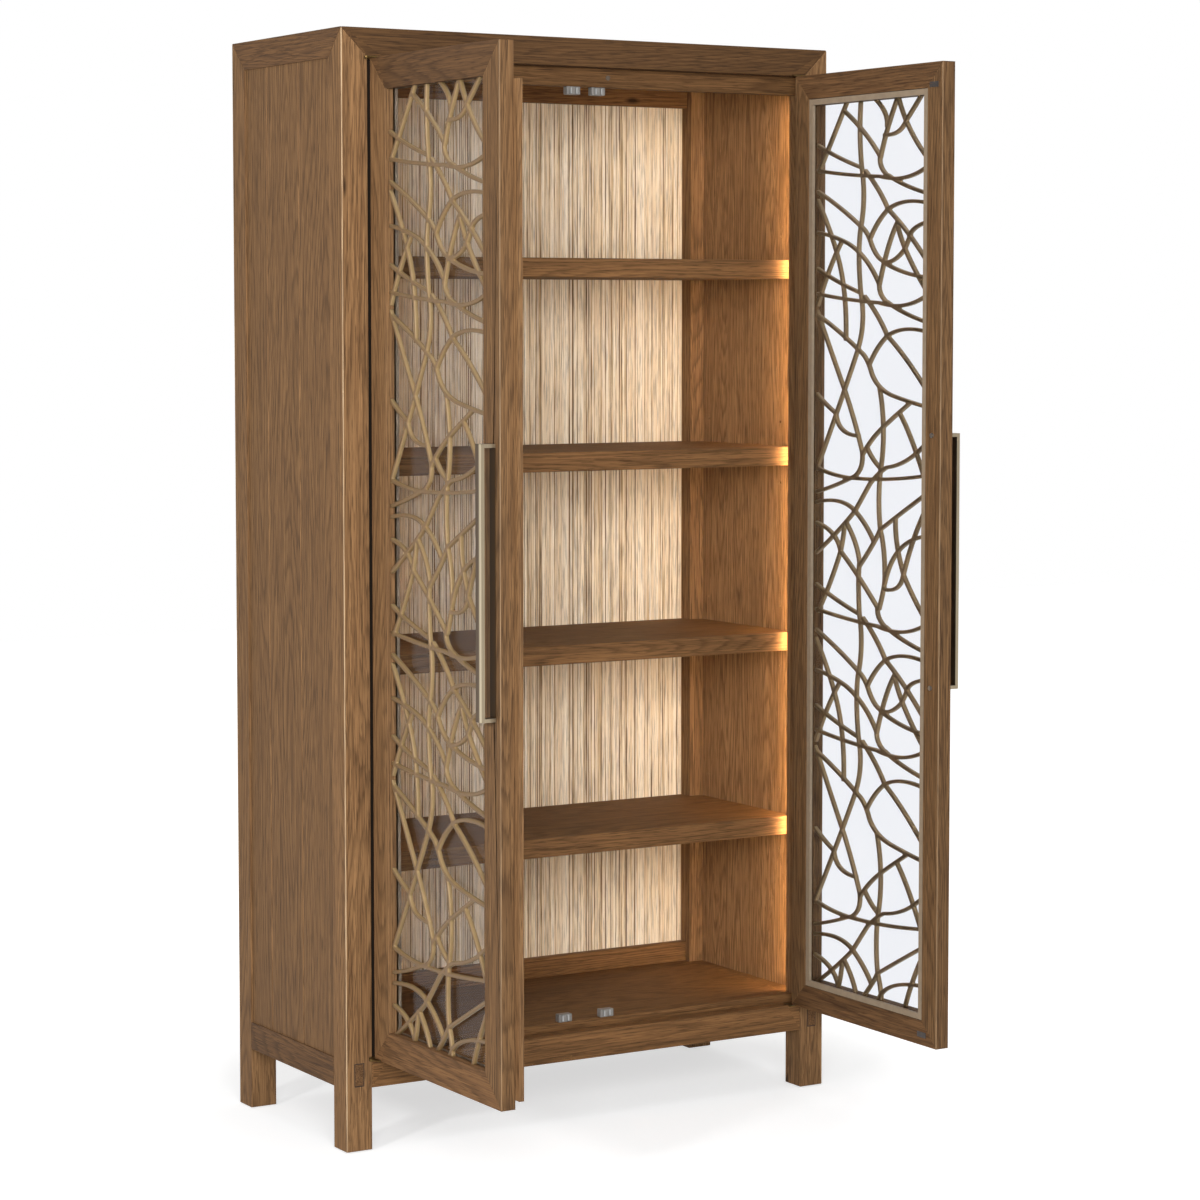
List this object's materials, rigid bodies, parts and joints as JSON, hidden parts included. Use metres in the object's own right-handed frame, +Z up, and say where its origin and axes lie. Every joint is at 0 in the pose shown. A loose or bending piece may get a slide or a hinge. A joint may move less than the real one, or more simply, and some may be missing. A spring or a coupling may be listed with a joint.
{
  "type": "display cabinet",
  "caption": "Tall oak display cabinet on short legs, with glazed twig-lattice doors on knife hinges, loose shelves, a grasscloth back and hidden light strips.",
  "frame": {"origin": "on the floor, midway between the four posts", "axes": "+Z up, +X to the right seen from the front, +Y to the back; the doors open towards -Y"},
  "size_m": [1.05, 0.948, 2.032],
  "materials": {
    "oak_frame": "wire-brushed brown oak, satin lacquer",
    "oak_panel": "brown oak planks and veneer, satin lacquer",
    "oak_shelf": "brown oak veneer, satin lacquer",
    "oak_door": "wire-brushed brown oak, satin lacquer",
    "back_ply": "plain plywood",
    "grasscloth": "vertical reed and grass weave",
    "steel_hardware": "bright zinc",
    "glide_nylon": "moulded nylon",
    "channel_aluminium": "anodised",
    "diffuser_acrylic": "opal",
    "led_tape": "printed tape",
    "driver_plastic": "moulded",
    "lead_rubber": "two-core lead",
    "sensor_plastic": "moulded",
    "catch_plastic": "translucent grey",
    "hinge_brass": "satin",
    "lattice_bronze": "hardwood fret in antiqued bronze lacquer",
    "door_glass": "clear float glass",
    "bead_vinyl": "grey vinyl",
    "pull_metal": "brushed champagne"
  },
  "bodies": {
    "carcass": {"front_left_post": "oak_frame", "front_right_post": "oak_frame", "back_left_post": "oak_frame", "back_right_post": "oak_frame", "front_top_rail": "oak_frame", "back_top_rail": "oak_frame", "left_top_rail": "oak_frame", "right_top_rail": "oak_frame", "front_lower_rail": "oak_frame", "back_lower_rail": "oak_frame", "left_lower_rail": "oak_frame", "right_lower_rail": "oak_frame", "top_panel": "oak_panel", "left_side_planks": "oak_panel", "right_side_planks": "oak_panel", "floor_panel": "oak_panel", "header": "oak_panel", "back_cross_rails": "oak_panel", "back_panel": "back_ply", "back_grasscloth": "grasscloth", "back_screws": "steel_hardware", "shelf_pins": "steel_hardware", "catch_poles": "steel_hardware", "foot_glides": "glide_nylon", "led_channels": "channel_aluminium", "led_diffusers": "diffuser_acrylic", "led_tapes": "led_tape", "led_driver": "driver_plastic", "lead_clips": "driver_plastic", "led_leads": "lead_rubber", "door_sensor": "sensor_plastic", "catch_bodies": "catch_plastic", "carcass_hinge_leaves": "hinge_brass"},
    "left_door": {"left_hinge_stile": "oak_door", "left_meeting_stile": "oak_door", "left_door_top_rail": "oak_door", "left_door_bottom_rail": "oak_door", "left_lattice": "lattice_bronze", "left_glass": "door_glass", "left_glass_bead": "bead_vinyl", "left_pull": "pull_metal", "left_pull_screws": "steel_hardware", "left_strike_plates": "steel_hardware", "left_door_hinge_leaves": "hinge_brass", "left_astragal": "oak_door"},
    "right_door": {"right_hinge_stile": "oak_door", "right_meeting_stile": "oak_door", "right_door_top_rail": "oak_door", "right_door_bottom_rail": "oak_door", "right_lattice": "lattice_bronze", "right_glass": "door_glass", "right_glass_bead": "bead_vinyl", "right_pull": "pull_metal", "right_pull_screws": "steel_hardware", "right_strike_plates": "steel_hardware", "right_door_hinge_leaves": "hinge_brass"},
    "shelf_1": {"shelf_1": "oak_shelf"},
    "shelf_2": {"shelf_2": "oak_shelf"},
    "shelf_3": {"shelf_3": "oak_shelf"},
    "shelf_4": {"shelf_4": "oak_shelf"}
  },
  "joints": [
    {"name": "left_door_hinge", "type": "hinge", "parent": "carcass", "child": "left_door", "pos_m": [-0.47675, -0.23225, 0], "axis": [0, 0, 1], "range_deg": [-75, 90]},
    {"name": "right_door_hinge", "type": "hinge", "parent": "carcass", "child": "right_door", "pos_m": [0.47675, -0.23225, 0], "axis": [0, 0, -1], "range_deg": [-75, 90]},
    {"name": "shelf_1_lift", "type": "slide", "parent": "carcass", "child": "shelf_1", "axis": [0, 0, 1], "range_m": [0, 0.06]},
    {"name": "shelf_2_lift", "type": "slide", "parent": "carcass", "child": "shelf_2", "axis": [0, 0, 1], "range_m": [0, 0.06]},
    {"name": "shelf_3_lift", "type": "slide", "parent": "carcass", "child": "shelf_3", "axis": [0, 0, 1], "range_m": [0, 0.06]},
    {"name": "shelf_4_lift", "type": "slide", "parent": "carcass", "child": "shelf_4", "axis": [0, 0, 1], "range_m": [0, 0.06]}
  ]
}
